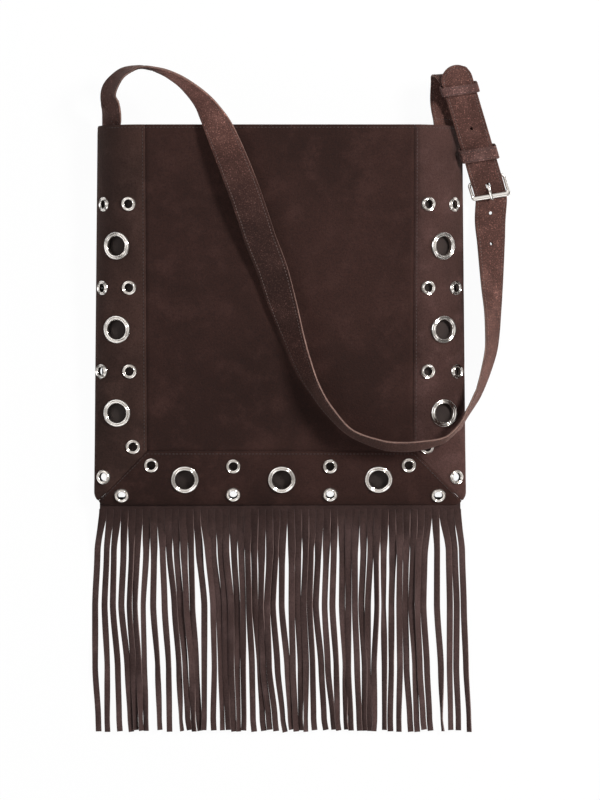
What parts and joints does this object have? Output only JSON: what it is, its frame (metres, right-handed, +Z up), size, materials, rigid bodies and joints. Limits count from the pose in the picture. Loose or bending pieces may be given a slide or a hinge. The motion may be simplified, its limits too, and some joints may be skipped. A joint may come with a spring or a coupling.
{
  "type": "fringed shoulder bag",
  "caption": "Flat suede shoulder bag with metal eyelets round three sides, a buckled strap and a long fringe along the bottom, lying on its back.",
  "frame": {"origin": "centre of the underside of the bag's whole outline, on the surface that it lies on", "axes": "+Z up from the surface that the bag lies on, +Y towards the bag's mouth and the strap's arch, +X to the side with the buckle"},
  "size_m": [0.3999, 0.641, 0.0845],
  "materials": {
    "body_suede": "suede nap, matt",
    "strap_suede": "suede nap, matt, with darker cut edges",
    "fringe_suede": "suede nap, matt",
    "lining_cloth": "plain woven lining",
    "nickel": "polished nickel plating"
  },
  "bodies": {
    "bag": {"back_eyelet_large_foot_1": "nickel", "back_eyelet_large_foot_2": "nickel", "back_eyelet_large_foot_3": "nickel", "back_eyelet_large_left_1": "nickel", "back_eyelet_large_left_2": "nickel", "back_eyelet_large_left_3": "nickel", "back_eyelet_large_right_1": "nickel", "back_eyelet_large_right_2": "nickel", "back_eyelet_large_right_3": "nickel", "back_foot_band": "body_suede", "back_left_band": "body_suede", "back_panel": "body_suede", "back_right_band": "body_suede", "fringe": "fringe_suede", "front_eyelet_large_foot_1": "nickel", "front_eyelet_large_foot_2": "nickel", "front_eyelet_large_foot_3": "nickel", "front_eyelet_large_left_1": "nickel", "front_eyelet_large_left_2": "nickel", "front_eyelet_large_left_3": "nickel", "front_eyelet_large_right_1": "nickel", "front_eyelet_large_right_2": "nickel", "front_eyelet_large_right_3": "nickel", "front_eyelet_small_foot_1": "nickel", "front_eyelet_small_foot_2": "nickel", "front_eyelet_small_foot_3": "nickel", "front_eyelet_small_foot_4": "nickel", "front_eyelet_small_foot_5": "nickel", "front_eyelet_small_foot_6": "nickel", "front_eyelet_small_foot_7": "nickel", "front_eyelet_small_foot_8": "nickel", "front_eyelet_small_left_1": "nickel", "front_eyelet_small_left_2": "nickel", "front_eyelet_small_left_3": "nickel", "front_eyelet_small_left_4": "nickel", "front_eyelet_small_left_5": "nickel", "front_eyelet_small_left_6": "nickel", "front_eyelet_small_left_7": "nickel", "front_eyelet_small_left_8": "nickel", "front_eyelet_small_right_1": "nickel", "front_eyelet_small_right_2": "nickel", "front_eyelet_small_right_3": "nickel", "front_eyelet_small_right_4": "nickel", "front_eyelet_small_right_5": "nickel", "front_eyelet_small_right_6": "nickel", "front_eyelet_small_right_7": "nickel", "front_eyelet_small_right_8": "nickel", "front_foot_band": "body_suede", "front_left_band": "body_suede", "front_panel": "body_suede", "front_right_band": "body_suede", "keeper_fixed": "strap_suede", "lining": "lining_cloth", "long_strap": "strap_suede", "mouth_facing": "lining_cloth", "short_strap": "strap_suede"},
    "frame": {"buckle_frame": "nickel"},
    "prong": {"buckle_prong": "nickel"},
    "keeper": {"keeper_sliding": "strap_suede"}
  },
  "joints": [
    {"name": "buckle_swing", "type": "hinge", "parent": "bag", "child": "frame", "pos_m": [0.1773, 0.2096, 0.0145], "axis": [-0.9553, -0.2957, 0], "range_deg": [0, 3]},
    {"name": "prong_swing", "type": "hinge", "parent": "frame", "child": "prong", "pos_m": [0.1773, 0.2096, 0.0145], "axis": [-0.9553, -0.2957, 0], "range_deg": [0, 3]},
    {"name": "keeper_slide", "type": "slide", "parent": "bag", "child": "keeper", "axis": [0.2812, -0.9085, -0.309], "range_m": [-0.001, 0.054]}
  ]
}
